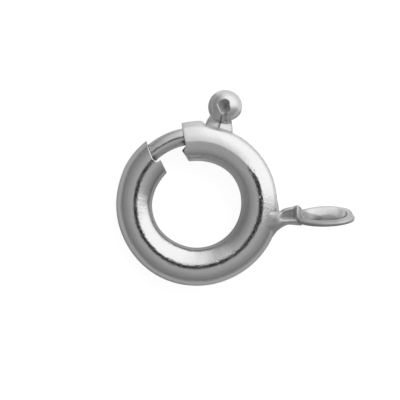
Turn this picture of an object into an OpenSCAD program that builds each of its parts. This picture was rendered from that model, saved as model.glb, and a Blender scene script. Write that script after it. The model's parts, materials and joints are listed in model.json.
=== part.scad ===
// Spring ring clasp, a jewellery finding: a tube bent to a ring, a sprung needle that closes
// its opening, a thumb lever on the needle, and a round wire eyelet soldered to the ring.
// Millimetres. The origin is the centre of the ring, in the middle of the tube's height.
// The clasp lies as it does on a table, so its ring leans a little towards +Z, with the
// eyelet's foot and the far side of the tube on the table. Angles run counter-clockwise
// round the ring, from the side that the eyelet is on.

/* [Ring tube] */
// Outside diameter of the ring
ring_od = 6; // [5.8:0.1:7]
// Diameter of the tube that the ring is bent from
tube_d = 1.4; // [1.3:0.05:1.5]
// Thickness of the tube's wall
tube_wall = 0.12; // [0.08:0.01:0.14]

/* [Opening] */
// Where the tube's end beside the lever is cut, at the outside of the ring
open_start = 101.2; // [99:0.2:106]
// Where the tube's other end is cut, at the outside of the ring
open_end = 128.8; // [124:0.2:134]
// Radius of the rounded notch in the other end
notch_r = 0.146; // [0.1:0.002:0.18]

/* [Lever slot] */
// Width of the slot in the outer wall
slot_w = 0.67; // [0.62:0.01:0.74]
// Where the slot ends beside the opening
slot_start = 86.8; // [85.6:0.2:90]
// How far the slot runs on past the open lever's neck, in degrees
slot_run_on = 14.4; // [4:0.2:20]

/* [Needle] */
// Diameter of the needle
needle_d = 0.63; // [0.5:0.01:0.68]
// Room between the needle and the outer wall of the tube
needle_room = 0.055; // [0.03:0.005:0.1]
// Where the needle's round point lies inside the tube when the clasp is shut
needle_point = 138; // [137:0.5:144]
// How far the needle's square end lies behind the lever's stem, in degrees
needle_tail = 16; // [12:1:22]

/* [Thumb lever] */
// Where the lever stands when the clasp is shut
lever_at = 74; // [72:0.5:76]
// How far the lever slides back to open the clasp, in degrees
lever_travel = 45; // [38:1:48]
// Diameter of the hollow ball
ball_d = 1.226; // [1:0.01:1.4]
// Distance from the ring's outside to the middle of the ball
ball_rise = 0.703; // [0.65:0.01:0.9]
// Thickness of the sheet that the ball is drawn from
sheet = 0.09; // [0.06:0.01:0.12]
// Width of the neck under the ball
neck_top_w = 0.78; // [0.6:0.01:0.9]
// Width of the neck at the ring
neck_foot_w = 1; // [0.8:0.01:1.1]
// Room between the neck and each side of the slot
neck_room = 0.055; // [0.03:0.005:0.09]
// Diameter of the stem that is riveted in the needle
stem_d = 0.24; // [0.16:0.01:0.3]
// Room round the stem and over the needle
stem_room = 0.01; // [0.005:0.001:0.02]
// Width of the opening in the ball's face
face_w = 0.39; // [0.3:0.01:0.44]
// Length of that opening
face_len = 0.5; // [0.4:0.01:0.54]
// Turn of that opening against the neck
face_turn = 16; // [0:1:30]
// Width of the seam where the sheet's edges meet
seam_w = 0.045; // [0.03:0.005:0.08]
// Length of the seam, from the opening down the neck
seam_len = 0.535; // [0.4:0.005:0.6]
// Slant of the seam against the neck
seam_turn = 8; // [0:1:12]

/* [Spring] */
// Diameter of the spring's wire
spring_wire = 0.1; // [0.08:0.01:0.11]
// Number of coils
spring_coils = 24; // [18:1:25]
// Room between the spring and the tube's bore, and at its ends
spring_room = 0.04; // [0.02:0.005:0.08]
// Where the plug that the spring bears on lies
plug_at = -73; // [-90:1:-70]
// Length of the plug, in degrees
plug_span = 8; // [5:1:12]

/* [Eyelet] */
// Outside diameter of the eyelet
eyelet_od = 2.16; // [1.9:0.02:2.4]
// Diameter of its wire
eyelet_wire = 0.27; // [0.22:0.01:0.34]
// How far the eyelet sits beside the ring's own centre line
eyelet_aside = -0.46; // [-0.6:0.02:-0.3]
// How far the eyelet leans from upright
eyelet_lean = 13.5; // [8:0.5:18]
// Turn of the eyelet away from the ring's centre line
eyelet_turn = -1.3; // [-4:0.1:4]
// Length of the soldered neck, from the ring to the eyelet
solder_len = 0.6; // [0.5:0.02:0.8]
// Width of the soldered neck at its waist
solder_w = 0.66; // [0.5:0.02:0.76]
// Thickness of the soldered neck at its waist
solder_t = 0.56; // [0.4:0.02:0.7]

/* [Rest] */
// Direction of the ring's rise when the clasp lies on a table, from where it balances
rest_heading = -9.6; // [-30:0.2:10]

/* [Hidden] */

// Facets of round shapes
round_fn = 96;
small_fn = 48;
// Cuts reach this far past what they cut
spare = 0.3;

tube_r = tube_d / 2;
bore_r = tube_r - tube_wall;
ring_r = ring_od / 2 - tube_r;
needle_r = needle_d / 2;
needle_path_r = ring_od / 2 - tube_wall - needle_room - needle_r;
needle_start = lever_at - needle_tail;
ball_at_r = ring_od / 2 + ball_rise;
neck_t = slot_w - 2 * neck_room;
neck_half_span = asin(neck_foot_w / ring_od);
slot_end = lever_at - lever_travel - neck_half_span - slot_run_on;

eyelet_wire_r = eyelet_wire / 2;
eyelet_r = eyelet_od / 2 - eyelet_wire_r;
eyelet_x = ring_od / 2 + solder_len + eyelet_od / 2;

// The eyelet's foot is its lowest point, under the leaning loop
foot = [eyelet_x, eyelet_aside + eyelet_r * sin(eyelet_lean)];
foot_drop = eyelet_r * cos(eyelet_lean) + eyelet_wire_r - tube_r;
foot_reach = foot[0] * cos(rest_heading) + foot[1] * sin(rest_heading);
rest_tilt = asin(foot_drop / (ring_r + foot_reach));

// Both cut ends of the tube, seen along the ring's axis. Columns: place across the tube,
// from 1 at the outer wall to -1 at the inner wall, and degrees from the end's own angle
LEVER_END = [[1, 0], [-0.18, 0], [-0.38, 4.8], [-1, 0.1]];
FAR_END = [[1, 0], [0, 5.8], [-0.06, 1.7], [-0.255, 0.7], [-1, 4.9]];
// Middle of the rounded notch, in the same two columns
NOTCH = [-0.057, 1.7];

// The soldered neck, section by section. Columns: place along the neck as a share of its
// length, its edge on the +Y side and on the -Y side as shares of half its width, and its
// thickness as a share of its waist
SOLDER = [
    [-0.83, 1.05, 2.50, 1.70],
    [-0.50, 1.02, 2.40, 1.60],
    [-0.30, 0.98, 2.00, 1.45],
    [-0.15, 0.86, 1.68, 1.32],
    [0.05, 0.72, 1.38, 1.18],
    [0.25, 0.88, 1.12, 1.08],
    [0.50, 1.06, 0.94, 1.00],
    [0.83, 1.20, 0.91, 1.00],
    [1.10, 1.24, 0.98, 0.96],
    [1.36, 0.92, 0.86, 0.66]
];
solder_sides = 20;

// The opening in the ball's face. Columns: place across it and along it, from its middle, as
// shares of half its width and half its length
FACE = [[-0.72, 0.68], [0.90, 0.52], [1.00, -0.48], [0.30, -1.06], [-0.25, -1.00]];
// Middle of its round upper end in the same two columns, and its radius as a share of half
// the opening's width
FACE_ROUND = [0.08, 0.36, 0.85];
// Top of the seam in the same two columns
SEAM_TOP = [-0.40, -1.05];

function polar(r, a) = [r * cos(a), r * sin(a)];
function across(share) = ring_r + share * tube_r;
// A point of a cut end, on the line through its first two rows or beyond them
function end_point(row, at) = polar(across(row[0]), at + row[1]);
function carried_past(a, b, far) = a + (a - b) * far;

// Lays the ring's own frame down on the table
module laid_down() {
    rotate(a = rest_tilt, v = [sin(rest_heading), -cos(rest_heading), 0]) children();
}

// A ring of round section
module round_ring(path_r, r) {
    rotate_extrude($fn = round_fn) translate([path_r, 0]) circle(r = r, $fn = small_fn);
}

// A stretch of bent round bar, from one angle to another
module bent_bar(path_r, r, from, to) {
    rotate([0, 0, from])
        rotate_extrude(angle = to - from, $fn = round_fn)
            translate([path_r, 0]) circle(r = r, $fn = small_fn);
}

// The ring's opening, cut straight down along the ring's axis with its stepped ends
module opening_cut() {
    near = [for (row = LEVER_END) end_point(row, open_start)];
    far = [for (row = FAR_END) end_point(row, open_end)];
    near_out = carried_past(near[0], near[1], spare);
    near_in = carried_past(near[3], near[2], spare);
    far_out = carried_past(far[0], far[1], spare);
    far_in = carried_past(far[4], far[3], spare);
    linear_extrude(height = tube_d + 2 * spare, center = true) {
        polygon(concat(
            [near_out], near, [near_in, far_in],
            [for (i = [len(far) - 1:-1:0]) far[i]], [far_out]
        ));
        translate(end_point(NOTCH, open_end)) circle(r = notch_r, $fn = small_fn);
    }
}

// The slot that the lever travels in
module slot_cut() {
    rotate([0, 0, slot_end])
        rotate_extrude(angle = slot_start - slot_end, $fn = round_fn)
            translate([ring_r + bore_r / 2, -slot_w / 2]) square([tube_r, slot_w]);
}

// One section of the soldered neck, an ellipse across its length
function solder_section(row) =
    let (
        x = ring_od / 2 + row[0] * solder_len,
        top = eyelet_aside + row[1] * solder_w / 2,
        foot = eyelet_aside - row[2] * solder_w / 2,
        mid = (top + foot) / 2,
        half = (top - foot) / 2
    )
    [for (i = [0:solder_sides - 1])
        let (a = 360 * i / solder_sides)
        [x, mid + half * cos(a), row[3] * solder_t / 2 * sin(a)]];

// The solid between sections of equal numbers of points, closed at both ends
module skin(sections) {
    n = len(sections[0]);
    last = len(sections) - 1;
    points = [for (s = sections) for (p = s) p];
    walls = [for (k = [0:last - 1]) for (i = [0:n - 1])
        let (j = (i + 1) % n)
        each [
            [k * n + i, (k + 1) * n + i, (k + 1) * n + j],
            [k * n + i, (k + 1) * n + j, k * n + j]
        ]];
    ends = [[for (i = [0:n - 1]) i], [for (i = [n - 1:-1:0]) last * n + i]];
    polyhedron(points = points, faces = concat(walls, ends), convexity = 4);
}

// The round wire loop, upright beside the ring
module eyelet() {
    translate([eyelet_x, eyelet_aside, 0])
        rotate([0, 0, eyelet_turn])
            rotate([90 + eyelet_lean, 0, 0])
                round_ring(eyelet_r, eyelet_wire_r);
}

// The tube, its plug, and the neck and eyelet that are soldered to it
module ring_tube() {
    color("silver") laid_down() {
        difference() {
            union() {
                round_ring(ring_r, tube_r);
                skin([for (row = SOLDER) solder_section(row)]);
                eyelet();
            }
            difference() {
                round_ring(ring_r, bore_r);
                bent_bar(ring_r, tube_r, plug_at - plug_span, plug_at);
            }
            opening_cut();
            slot_cut();
        }
    }
}

// The bent wire, with a round point, a square end and a cross hole for the lever's stem
module needle() {
    color("gainsboro") laid_down() {
        difference() {
            union() {
                bent_bar(needle_path_r, needle_r, needle_start, needle_point);
                rotate([0, 0, needle_point])
                    translate([needle_path_r, 0, 0]) sphere(r = needle_r, $fn = small_fn);
            }
            rotate([0, 90, lever_at])
                cylinder(r = stem_d / 2 + stem_room, h = ring_od / 2, $fn = small_fn);
        }
    }
}

// The slit left where the sheet's edges meet, from the ball down the neck's face
module seam_cut() {
    translate([SEAM_TOP[0] * face_w / 2, ball_at_r + SEAM_TOP[1] * face_len / 2, 0])
        rotate([0, 0, seam_turn])
            translate([-seam_w / 2, -seam_len, neck_t / 2 - 2 * sheet])
                cube([seam_w, seam_len, ball_d / 2]);
}

// The opening in the ball's face, round above and narrow below
module face_cut() {
    translate([0, ball_at_r, 0])
        rotate([0, 0, face_turn])
            linear_extrude(height = ball_d) {
                translate([FACE_ROUND[0] * face_w / 2, FACE_ROUND[1] * face_len / 2])
                    circle(r = FACE_ROUND[2] * face_w / 2, $fn = small_fn);
                polygon([for (row = FACE) [row[0] * face_w / 2, row[1] * face_len / 2]]);
            }
}

// The folded sheet lever, standing on the needle. It is drawn upright, then turned to its place
module thumb_lever() {
    color("lightgray") laid_down() rotate([0, 0, lever_at - 90]) {
        difference() {
            union() {
                translate([0, ball_at_r, 0]) sphere(d = ball_d, $fn = round_fn);
                linear_extrude(height = neck_t, center = true)
                    polygon([
                        [-neck_foot_w / 2, needle_path_r],
                        [neck_foot_w / 2, needle_path_r],
                        [neck_top_w / 2, ball_at_r - ball_d / 3],
                        [-neck_top_w / 2, ball_at_r - ball_d / 3]
                    ]);
            }
            translate([0, ball_at_r, 0]) sphere(r = ball_d / 2 - sheet, $fn = round_fn);
            round_ring(needle_path_r, needle_r + stem_room);
            face_cut();
            seam_cut();
        }
        translate([0, needle_path_r - needle_r / 2, 0])
            rotate([-90, 0, 0])
                cylinder(d = stem_d, h = needle_r * 2, $fn = small_fn);
    }
}

// The coil spring, curved round inside the tube from the plug to the needle's square end
module coil_spring() {
    wire_r = spring_wire / 2;
    coil_r = bore_r - spring_room - wire_r;
    end_gap = (spring_room + wire_r) / ring_r * 180 / PI;
    from = plug_at + end_gap;
    to = needle_start - end_gap;
    steps = 10;
    sides = 5;
    last = spring_coils * steps;
    sections = [for (k = [0:last])
        let (
            turn = 360 * k / steps,
            round = from + (to - from) * k / last
        )
        [for (i = [0:sides - 1])
            let (
                a = 360 * i / sides,
                out = coil_r + wire_r * cos(a),
                r = ring_r + out * cos(turn),
                side = wire_r * sin(a),
                along = polar(r, round) + polar(side, round + 90)
            )
            [along[0], along[1], out * sin(turn)]]];
    color("darkgray") laid_down() skin(sections);
}

ring_tube();
needle();
thumb_lever();
coil_spring();
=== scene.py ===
"""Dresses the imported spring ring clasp: its silver tube, soldered eyelet, needle, lever and spring.

Everything is in metres. Shapes are worked out in the ring's own frame, with the ring's axis along Z,
the eyelet towards +X and the lever towards +Y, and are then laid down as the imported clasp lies.
Angles run counter-clockwise round the ring, from the eyelet's side.
"""

import json
import math

import bmesh
import bpy
import numpy as np
from bpy.props import FloatProperty, FloatVectorProperty, IntProperty, PointerProperty
from mathutils import Matrix, Vector


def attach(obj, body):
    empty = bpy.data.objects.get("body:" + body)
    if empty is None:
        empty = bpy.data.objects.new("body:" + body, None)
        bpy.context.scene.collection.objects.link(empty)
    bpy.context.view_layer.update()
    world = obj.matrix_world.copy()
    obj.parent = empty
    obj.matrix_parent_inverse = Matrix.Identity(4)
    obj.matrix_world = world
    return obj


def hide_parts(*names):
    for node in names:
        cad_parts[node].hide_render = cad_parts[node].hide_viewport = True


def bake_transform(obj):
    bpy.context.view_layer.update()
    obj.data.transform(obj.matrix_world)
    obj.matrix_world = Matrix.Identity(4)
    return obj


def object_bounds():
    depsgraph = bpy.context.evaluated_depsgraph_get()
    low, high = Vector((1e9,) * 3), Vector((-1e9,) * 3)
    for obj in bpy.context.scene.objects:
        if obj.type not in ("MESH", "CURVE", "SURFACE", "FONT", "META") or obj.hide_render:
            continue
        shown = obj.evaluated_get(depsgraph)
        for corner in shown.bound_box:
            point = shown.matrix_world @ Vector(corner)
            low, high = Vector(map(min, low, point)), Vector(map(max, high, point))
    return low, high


bl_info = {
    "name": "Spring Ring Clasp",
    "version": (1, 0, 0),
    "blender": (4, 5, 0),
    "location": "3D View > Sidebar > Clasp",
    "description": "Builds the visible surfaces of a silver spring ring clasp round its packed model",
    "category": "Object",
}

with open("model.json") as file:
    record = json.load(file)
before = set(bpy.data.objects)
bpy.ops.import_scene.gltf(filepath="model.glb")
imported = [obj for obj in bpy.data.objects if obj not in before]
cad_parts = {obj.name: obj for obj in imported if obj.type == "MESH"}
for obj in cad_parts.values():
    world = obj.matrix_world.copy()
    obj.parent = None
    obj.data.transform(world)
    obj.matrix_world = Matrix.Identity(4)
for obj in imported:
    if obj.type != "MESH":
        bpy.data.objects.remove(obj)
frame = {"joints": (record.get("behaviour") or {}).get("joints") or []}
cad_low, cad_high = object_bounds()

MM = 0.001
# Points nearer than this are one, and a bend sharper than this stays a hard edge
MERGE_DISTANCE = 0.00002 * MM
SHARP_ANGLE = math.radians(38)
# The ring's axis, as the clasp lies on a table
RING_AXIS = Vector(frame["joints"][0]["axis"])
LAID = np.array(Vector((0, 0, 1)).rotation_difference(RING_AXIS).to_matrix())

# Both cut ends of the tube. Columns: place across the tube, from 1 at the outer wall to -1 at
# the inner wall, and degrees from the end's own angle
LEVER_END = np.array([[1, 0], [-0.18, 0], [-0.38, 4.8], [-1, 0.1]])
FAR_END = np.array([[1, 0], [0, 5.8], [-0.06, 1.7], [-0.255, 0.7], [-1, 4.9]])
# The rounded notch in the far end, in the same two columns
NOTCH = np.array([-0.057, 1.7])
# How far the step of the lever's end is set back in the tube's upper side, in degrees
STEP_BACK = 2.2

# How many rows go round the tube's section, and how many columns each stretch of it has: from the
# far end to EVEN_FROM, to the slot's end by the eyelet, to its end by the opening, to the lever's end
TUBE_ROWS = 132
TUBE_COLUMNS = (26, 110, 110, 24)
EVEN_FROM = math.radians(150)
# How far from a cut end the points are drawn back for its rolled edge, and the radius of the slot's
# edge as a share of that edge's
ROLL_REACH = 0.10 * MM
LIP_SHARE = 0.4
# Room round the plug in the tube's bore
PLUG_FIT = 0.002 * MM

# Forms that bending gave the tube. Stretches are in degrees round the ring, past 360 after one turn:
# where an ease up starts and ends, and then where one down does. BULGE_HEIGHT and RIDGE_SOFT are in
# millimetres, FLAT_CURVE is per millimetre, and RIDGE_SLOPE and TAB_SINK are shares
BULGE = (158, 195, 270, 316)
BULGE_HEIGHT = 0.042
FLAT = (318, 345, 382, 402)
FLAT_CURVE = 0.45
RIDGE = (384, 404)
RIDGE_SLOPE = 0.12
RIDGE_SOFT = 0.010
TAB_RISE = (440, 446.8)
TAB_FALL = (449, 461)
TAB_SINK = 0.4

# How far bending moved the tube's crest, its inner side and its outer side outwards. Columns:
# degrees round the ring, and millimetres for each
PULL = np.array([
    [128, -0.010, 0.000, -0.020],
    [150, -0.031, 0.004, -0.011],
    [165, -0.035, 0.030, -0.031],
    [180, -0.031, 0.064, -0.029],
    [210, -0.018, 0.060, -0.026],
    [240, 0.006, 0.010, -0.004],
    [270, 0.010, 0.003, -0.016],
    [300, -0.018, -0.015, -0.022],
    [330, 0.002, -0.010, 0.000],
    [358, 0.012, 0.005, 0.006],
    [390, -0.004, 0.034, 0.020],
    [400, -0.007, 0.040, 0.020],
    [420, -0.010, 0.014, 0.008],
    [450, -0.010, -0.018, 0.000],
    [466, -0.010, 0.000, 0.000],
])

# The soldered neck, section by section. Columns: place along the neck as a share of its length,
# its edge on the +Y side and on the -Y side as shares of half its width, and its thickness as a
# share of its waist
SOLDER = np.array([
    [-0.95, 0.90, 2.20, 1.74],
    [-0.70, 0.95, 2.35, 1.78],
    [-0.50, 1.00, 2.42, 1.80],
    [-0.30, 0.92, 1.98, 1.66],
    [-0.15, 0.80, 1.62, 1.44],
    [0.05, 0.66, 1.33, 1.20],
    [0.25, 0.88, 1.09, 1.06],
    [0.50, 1.03, 0.90, 1.00],
    [0.83, 1.14, 0.90, 1.00],
    [1.10, 1.30, 0.95, 0.96],
    [1.36, 0.98, 0.96, 0.70],
])

# How far the solder flows out over the tube, and the ledge along its join: place and height
SOLDER_REACH = 0.16 * MM
LEDGE_Y = -0.395
LEDGE_HEIGHT = 0.055 * MM
# How square the soldered neck's and the eyelet wire's sections are, as NECK_SQUARE says below
NECK_BAR_SQUARE = 0.8
WIRE_SQUARE = 0.6
# How softly the eyelet's flat inner floor runs into its round inside
FLOOR_SOFT = 0.10 * MM
# The eyelet's painted shade line that hooks round its right inner side: the middle and the radius of its
# bend, in millimetres from the ring's axis
HOOK_X = 5.268
HOOK_Y = -0.362
HOOK_R = 0.1976

# The opening in the ball's face. Columns: degrees counter-clockwise round its middle, and
# distance from there in millimetres
KEYHOLE = np.array([
    [-180, 0.250], [-165, 0.236], [-150, 0.233], [-135, 0.246], [-120, 0.272], [-108, 0.245], [-78, 0.228],
    [-50, 0.238], [-25, 0.192], [0, 0.152], [22, 0.150], [56, 0.236], [89, 0.267], [124, 0.280],
    [146, 0.296], [164, 0.300], [172, 0.270], [180, 0.250],
])

# The lever's folded neck, with the lever upright. Columns: distance from the ring's axis, the
# neck's left edge and its right edge, in millimetres
NECK = np.array([
    [2.51, -0.56, 0.55], [2.90, -0.530, 0.515], [3.06, -0.505, 0.465], [3.17, -0.470, 0.41],
    [3.30, -0.44, 0.36], [3.45, -0.38, 0.34],
])
# How square the neck's section is: the power that its sine and cosine are raised to
NECK_SQUARE = 0.35
# The slit left where the sheet's edges meet, and the fold beside it: both ends of their middle
# lines in millimetres, with the lever upright, and their depths. The slit's half width is where
# its wall starts and ends, and the fold's reach is how far it goes to each side
SLIT_LINE = ((-0.030, 3.33), (-0.016, 2.86))
SLIT_HALF = (0.020 * MM, 0.036 * MM)
SLIT_DEPTH = 0.060 * MM
FOLD_LINE = ((0.060, 3.52), (0.150, 3.13))
FOLD_REACH = 0.125 * MM
FOLD_DEPTH = 0.045 * MM
# The ball's inside: the depth of its back as a share of a round one's, and how dull it is
INNER_BACK = 0.25
INSIDE_DULL = 0.1

# Greys of the studio from the horizon upwards: the Z of a direction, and how bright it is there
STUDIO_GREYS = ((0.0, 0.43), (0.12, 0.58), (0.5, 0.72), (0.7, 0.86), (0.87, 1.0))
# How much brighter the grey is on the soft light's side
FILL_SWAY = 0.13
# Where the soft light starts and is full at its right, and the same at its left, in degrees from
# its own direction, for the world and for the mirrored floor
WORLD_FADE = (-60, -38, 88, 26)
FLOOR_FADE = (-60, -38, 64, 42)
# The dark round of the camera: degrees from the ring's axis where it starts and where it is full
CAMERA_ROUND = (13.5, 10.5)
# Painted light on the mirrored paper: how bright it is near and far off, away from the soft light and then
# towards it
PAPER_GREYS = ((0.62, 0.36), (1.05, 1.15))
# The sun that lights the floor: how wide it is, and how far it slants from straight above
SUN_WIDTH = math.radians(35)
SUN_SLANT = math.radians(48)
# Width of the camera's sensor, in millimetres
SENSOR = 36


def laid(points):
    """The same points after the ring's frame is laid down on the table."""
    return points @ LAID.T


def polar(radius, angle, height):
    """Points at a distance from the ring's axis, an angle round it, and a height."""
    radius, angle, height = np.broadcast_arrays(radius, angle, height)
    return np.stack([radius * np.cos(angle), radius * np.sin(angle), height], axis=-1)


def unit(vectors):
    """Each vector divided by its own length."""
    return vectors / np.maximum(np.linalg.norm(vectors, axis=-1, keepdims=True), 1e-12)


def ease(x, start, end):
    """0 up to start and 1 from end on, along 3t^2 - 2t^3 in between."""
    t = np.clip((x - start) / (end - start), 0, 1)
    return t * t * (3 - 2 * t)


def hump(x, middle, width):
    """A bell of height 1, exp(-((x - middle) / width)^2)."""
    return np.exp(-(((x - middle) / width) ** 2))


def between(x, rise_start, rise_end, fall_start, fall_end):
    """0 outside and 1 inside a stretch, with an ease up at its start and down at its end."""
    return ease(x, rise_start, rise_end) * (1 - ease(x, fall_start, fall_end))


def squared(wave, power):
    """A sine or cosine raised to a power with its sign kept, which squares a circle's section."""
    return np.sign(wave) * np.abs(wave) ** power


def grid_quads(rows, columns, closed_rows=False, closed_columns=False):
    """Corner numbers of a grid's quads, for points that are numbered row by row."""
    i = np.arange(rows if closed_rows else rows - 1)[:, None]
    j = np.arange(columns if closed_columns else columns - 1)[None, :]
    up, on = (i + 1) % rows, (j + 1) % columns
    corners = np.broadcast_arrays(i * columns + j, i * columns + on, up * columns + on, up * columns + j)
    return np.stack(corners, axis=-1)


class Skin:
    """Gathers the points, faces and three point attributes of one closed surface.

    along holds millimetres in a frame that follows the piece, for patterns that follow it. The recess
    attribute is 1 where the metal is out of reach of polishing, and in places it also paints shade
    with the tarnish colour; satin is 1 where wear has roughened it.
    """

    def __init__(self):
        self.points, self.faces, self.along, self.recess, self.satin = [], [], [], [], []
        self.count = 0

    def add(self, points, faces, along=None, recess=0.0, satin=0.0):
        points = points.reshape(-1, 3)
        total = len(points)
        self.points.append(points)
        self.faces.append(np.asarray(faces).reshape(-1, np.shape(faces)[-1]) + self.count)
        self.along.append(points / MM if along is None else along.reshape(-1, 3))
        for rows, value in ((self.recess, recess), (self.satin, satin)):
            rows.append(np.broadcast_to(value, (total,)) if np.ndim(value) == 0 else value.ravel())
        self.count += total

    def add_grid(self, points, closed_rows=False, closed_columns=False, keep=None, **facts):
        """A grid of points with its quads, or those of its quads that keep says."""
        quads = grid_quads(points.shape[0], points.shape[1], closed_rows, closed_columns)
        self.add(points, quads if keep is None else quads[keep], **facts)

    def add_fan(self, ring, tip, inward, **facts):
        """A closed ring of points joined to one tip point."""
        n = len(ring)
        a = np.arange(n)
        b = (a + 1) % n
        corners = [b, a, np.full(n, n)] if inward else [a, b, np.full(n, n)]
        self.add(np.vstack([ring, tip[None, :]]), np.stack(corners, axis=-1), **facts)

    def make(self, name, body, slot, material, *nodes):
        """Merges what touches, turns the faces outwards and gives the finished piece."""
        points = laid(np.vstack(self.points))
        faces = [face for part in self.faces for face in part.tolist()]
        mesh = bpy.data.meshes.new(name)
        mesh.from_pydata(points, [], faces)
        for key, kind, field, rows in (
            ("along", "FLOAT_VECTOR", "vector", self.along),
            ("recess", "FLOAT", "value", self.recess),
            ("satin", "FLOAT", "value", self.satin),
        ):
            layer = mesh.attributes.new(key, kind, "POINT")
            layer.data.foreach_set(field, np.concatenate(rows).ravel())
        merge_doubles(mesh)
        mesh.shade_smooth()
        mesh.set_sharp_from_angle(angle=SHARP_ANGLE)
        mesh.materials.append(material)
        mesh.validate()
        piece = bpy.data.objects.new(name, mesh)
        bpy.context.scene.collection.objects.link(piece)
        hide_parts(*nodes)
        if body:
            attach(piece, body)
        return piece


def merge_doubles(mesh):
    """Joins points that lie on each other, and turns each closed shell's faces outwards."""
    bm = bmesh.new()
    bm.from_mesh(mesh)
    bmesh.ops.remove_doubles(bm, verts=bm.verts, dist=MERGE_DISTANCE)
    bmesh.ops.recalc_face_normals(bm, faces=bm.faces)
    bm.to_mesh(mesh)
    bm.free()


def rolled_edge(surface, normals, outward, size, steps=5):
    """A quarter-round edge from a surface, C + size (cos a N + sin a D), with C one size below it.

    N is the surface's normal and D points out over the edge.
    """
    turn = np.linspace(0, math.pi / 2, steps + 1)[1:, None, None]
    return surface - size * normals + size * (np.cos(turn) * normals + np.sin(turn) * outward)


def bent_rod(path_r, section, angles, around):
    """A rod bent round the ring's axis. section gives its radius at each of the angles."""
    a, p = angles[:, None], around[None, :]
    r = np.asarray(section)[:, None]
    return polar(path_r + r * np.cos(p), a, r * np.sin(p))


# Materials


def hex_colour(code):
    """An sRGB hex colour as linear RGB with full alpha."""
    channels = [int(code[i:i + 2], 16) / 255 for i in (1, 3, 5)]
    linear = [c / 12.92 if c <= 0.04045 else ((c + 0.055) / 1.055) ** 2.4 for c in channels]
    return (*linear, 1.0)


def add_node(tree, kind, inputs=None, **settings):
    """Adds a node, sets its settings, and gives its inputs values or links other nodes' outputs."""
    node = tree.nodes.new(kind)
    for key, value in settings.items():
        setattr(node, key, value)
    for key, value in (inputs or {}).items():
        if isinstance(value, bpy.types.NodeSocket):
            tree.links.new(value, node.inputs[key])
        else:
            node.inputs[key].default_value = value
    return node


def new_material(name):
    """An empty node material and its tree."""
    material = bpy.data.materials.new(name)
    material.use_nodes = True
    material.node_tree.nodes.clear()
    return material, material.node_tree


def silver(name, look, peel, lines, lines_stretch=(1.0, 1.0, 1.0), pits=0.0, rough=0.0):
    """A worked silver surface, in four layers over one another.

    Silver is near white and very reflective, so the eye reads it from what it mirrors. peel and
    lines are the depths in millimetres of the polished skin's ripples and of the marks that
    drawing or pressing leaves, lines_stretch is how much longer than wide the marks are, and pits
    is the depth of scattered dents. rough is added to the roughness. Where the recess attribute is 1
    the polish hasn't reached, and the metal is dull and tarnished; in places the same attribute and
    the tarnish colour paint shade.
    """
    material, tree = new_material(name)
    along = add_node(tree, "ShaderNodeAttribute", attribute_name="along").outputs["Vector"]
    recess = add_node(tree, "ShaderNodeAttribute", attribute_name="recess").outputs["Fac"]
    satin = add_node(tree, "ShaderNodeAttribute", attribute_name="satin").outputs["Fac"]
    stretched = add_node(
        tree, "ShaderNodeVectorMath", {0: along, 1: lines_stretch}, operation="MULTIPLY",
    ).outputs["Vector"]
    skin = add_node(tree, "ShaderNodeTexNoise", {
        "Vector": along, "Scale": 1 / look.peel_size, "Detail": 2.0, "Roughness": 0.55,
    }).outputs["Fac"]
    marks = add_node(tree, "ShaderNodeTexNoise", {
        "Vector": stretched, "Scale": 1 / look.mark_size, "Detail": 3.0, "Roughness": 0.6,
    }).outputs["Fac"]
    swell = add_node(tree, "ShaderNodeTexNoise", {
        "Vector": along, "Scale": 1 / look.swell_size, "Detail": 1.0,
    }).outputs["Fac"]
    dents = add_node(tree, "ShaderNodeTexVoronoi", {"Vector": along, "Scale": 1 / look.dent_size})
    dent_depth = add_node(tree, "ShaderNodeMapRange", {
        "Value": dents.outputs["Distance"], "From Min": 0.0, "From Max": 0.16, "To Min": -1.0, "To Max": 0.0,
    }, interpolation_type="SMOOTHSTEP").outputs["Result"]
    relief = add_node(tree, "ShaderNodeMath", {0: skin, 1: peel}, operation="MULTIPLY").outputs[0]
    for layer, depth in ((marks, lines), (swell, look.swell_depth), (dent_depth, pits)):
        if depth:
            relief = add_node(
                tree, "ShaderNodeMath", {0: layer, 1: depth, 2: relief}, operation="MULTIPLY_ADD",
            ).outputs[0]
    bump = add_node(tree, "ShaderNodeBump", {"Strength": 1.0, "Distance": MM, "Height": relief})
    polish = add_node(tree, "ShaderNodeMapRange", {
        "Value": marks, "From Min": 0.35, "From Max": 0.7,
        "To Min": look.polish_rough * 0.8 + rough, "To Max": look.polish_rough * 1.35 + rough,
    }).outputs["Result"]
    worn = add_node(
        tree, "ShaderNodeMath", {0: satin, 1: look.satin_rough, 2: polish}, operation="MULTIPLY_ADD",
    ).outputs[0]
    roughness = add_node(tree, "ShaderNodeMix", {
        "Factor": recess, "A": worn, "B": look.recess_rough,
    }, data_type="FLOAT").outputs["Result"]
    # The tarnish colour darkens both unpolished hollows and painted shade
    colour = add_node(tree, "ShaderNodeMix", {
        "Factor": recess, "A": tuple(look.silver), "B": tuple(look.tarnish_and_shade),
    }, data_type="RGBA")
    surface = add_node(tree, "ShaderNodeBsdfPrincipled", {
        "Base Color": colour.outputs[2], "Metallic": 1.0, "Roughness": roughness,
        "Normal": bump.outputs["Normal"],
    })
    add_node(tree, "ShaderNodeOutputMaterial", {"Surface": surface.outputs["BSDF"]})
    return material


# The sizes and colours that a user would change


def length(label, description, size):
    """A length, with its default in millimetres."""
    return FloatProperty(name=label, description=description, default=size * MM, unit="LENGTH")


def bearing(label, description, degrees):
    """An angle, with its default in degrees."""
    return FloatProperty(name=label, description=description, default=math.radians(degrees), subtype="ANGLE")


def fraction(label, description, part):
    """A number from 0 to 1."""
    return FloatProperty(name=label, description=description, default=part, min=0, max=1, subtype="FACTOR")


def pattern_size(label, description, size, least=0.001):
    """The size of a fine pattern. It is in millimetres, as the along attribute is."""
    return FloatProperty(name=label, description=description, default=size, min=least)


def brightness(label, description, level):
    """The brightness of a light."""
    return FloatProperty(name=label, description=description, default=level, min=0)


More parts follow.
